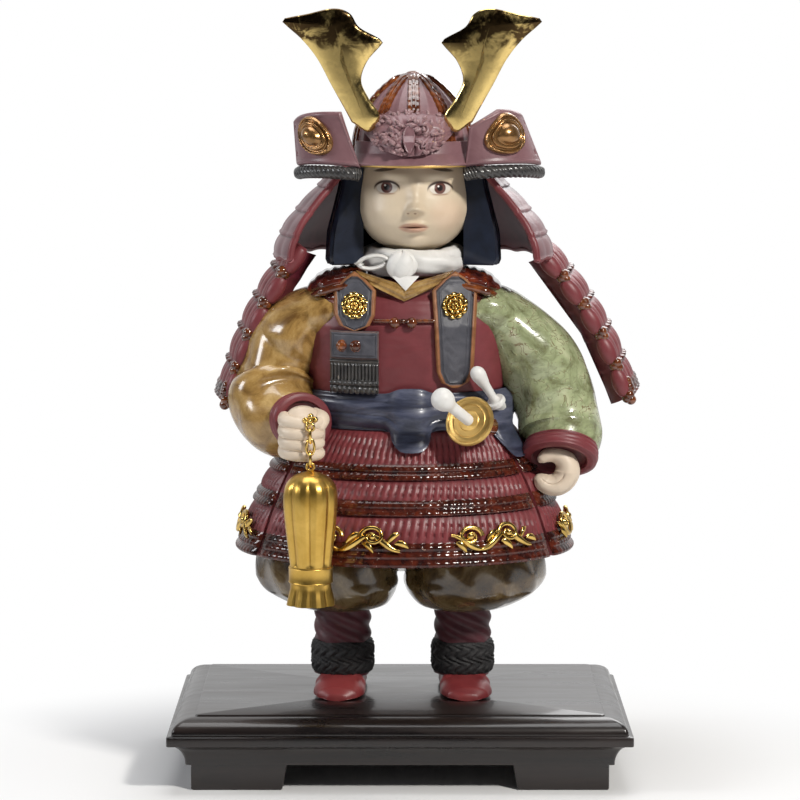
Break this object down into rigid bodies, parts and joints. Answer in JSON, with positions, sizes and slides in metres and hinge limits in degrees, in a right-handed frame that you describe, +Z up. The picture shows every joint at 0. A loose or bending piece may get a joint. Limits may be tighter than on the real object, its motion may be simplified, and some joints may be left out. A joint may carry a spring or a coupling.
{
  "type": "display doll",
  "caption": "Porcelain display figure of a round-faced samurai child in laced armour and horned helmet, standing on a black wooden plinth, with a gilt tassel on a short chain.",
  "frame": {"origin": "centre of the bounding box in plan, at the underside of the plinth's feet", "axes": "+Z up, -Y is the front that the figure faces, +X towards the figure's left hand"},
  "size_m": [0.2985, 0.2044, 0.484],
  "materials": {
    "plinth": "black lacquer, satin",
    "olive_glaze": "glazed",
    "red_shoe": "glazed",
    "shin_bisque": "unglazed, matt",
    "maroon_lacing": "satin, with glazed cord bands",
    "slate_glaze": "glazed",
    "grey_plate": "satin with gilt edges",
    "gilt": "gilded, polished",
    "chain_gilt": "polished",
    "brown_glaze": "glazed",
    "ochre_glaze": "glazed",
    "green_glaze": "glazed",
    "skin": "unglazed bisque",
    "black_hair": "satin",
    "white_bisque": "unglazed bisque",
    "mauve_bisque": "unglazed, satin"
  },
  "bodies": {
    "figure": {"plinth_board": "plinth", "plinth_foot_front_right": "plinth", "plinth_foot_front_left": "plinth", "plinth_foot_back_right": "plinth", "plinth_foot_back_left": "plinth", "trousers": "olive_glaze", "shoe_right": "red_shoe", "shoe_left": "red_shoe", "leg_right": "shin_bisque", "leg_left": "shin_bisque", "cuirass": "maroon_lacing", "skirt_front": "maroon_lacing", "skirt_left": "maroon_lacing", "skirt_back": "maroon_lacing", "skirt_right": "maroon_lacing", "sash": "slate_glaze", "chest_plate_right": "grey_plate", "chest_plate_left": "grey_plate", "flower_right": "gilt", "flower_left": "gilt", "chest_block": "grey_plate", "chest_flap": "grey_plate", "chest_cord": "brown_glaze", "robe_collar": "ochre_glaze", "shoulder_yoke": "maroon_lacing", "sleeve_right": "ochre_glaze", "sleeve_left": "green_glaze", "hand_right": "skin", "hand_left": "skin", "head": "skin", "hair": "black_hair", "scarf": "white_bisque", "helmet_bowl": "mauve_bisque", "helmet_visor": "mauve_bisque", "helmet_crest": "mauve_bisque", "horn_right": "gilt", "horn_left": "gilt", "neck_guard": "mauve_bisque", "turnback_right": "mauve_bisque", "turnback_right_braid": "slate_glaze", "turnback_right_boss": "gilt", "turnback_left": "mauve_bisque", "turnback_left_braid": "slate_glaze", "turnback_left_boss": "gilt", "shoulder_guard_left": "maroon_lacing", "shoulder_guard_right": "maroon_lacing", "long_sword_grip": "white_bisque", "long_sword_guard": "gilt", "long_sword_sheath": "brown_glaze", "short_sword_grip": "white_bisque", "scroll_front_right": "gilt", "scroll_front_left": "gilt", "scroll_side_left": "gilt", "scroll_side_right": "gilt", "chain_eye": "chain_gilt"},
    "chain": {"chain_link_1": "chain_gilt", "chain_link_2": "chain_gilt", "chain_link_3": "chain_gilt"},
    "tassel": {"tassel": "gilt"}
  },
  "joints": [
    {"name": "chain_swing", "type": "hinge", "parent": "figure", "child": "chain", "pos_m": [-0.0568, -0.0847, 0.2279], "axis": [-1, 0, 0], "range_deg": [-0.5, 35]},
    {"name": "tassel_sway", "type": "hinge", "parent": "chain", "child": "tassel", "pos_m": [-0.0568, -0.0847, 0.2057], "axis": [0, 1, 0], "range_deg": [-2, 25]}
  ]
}
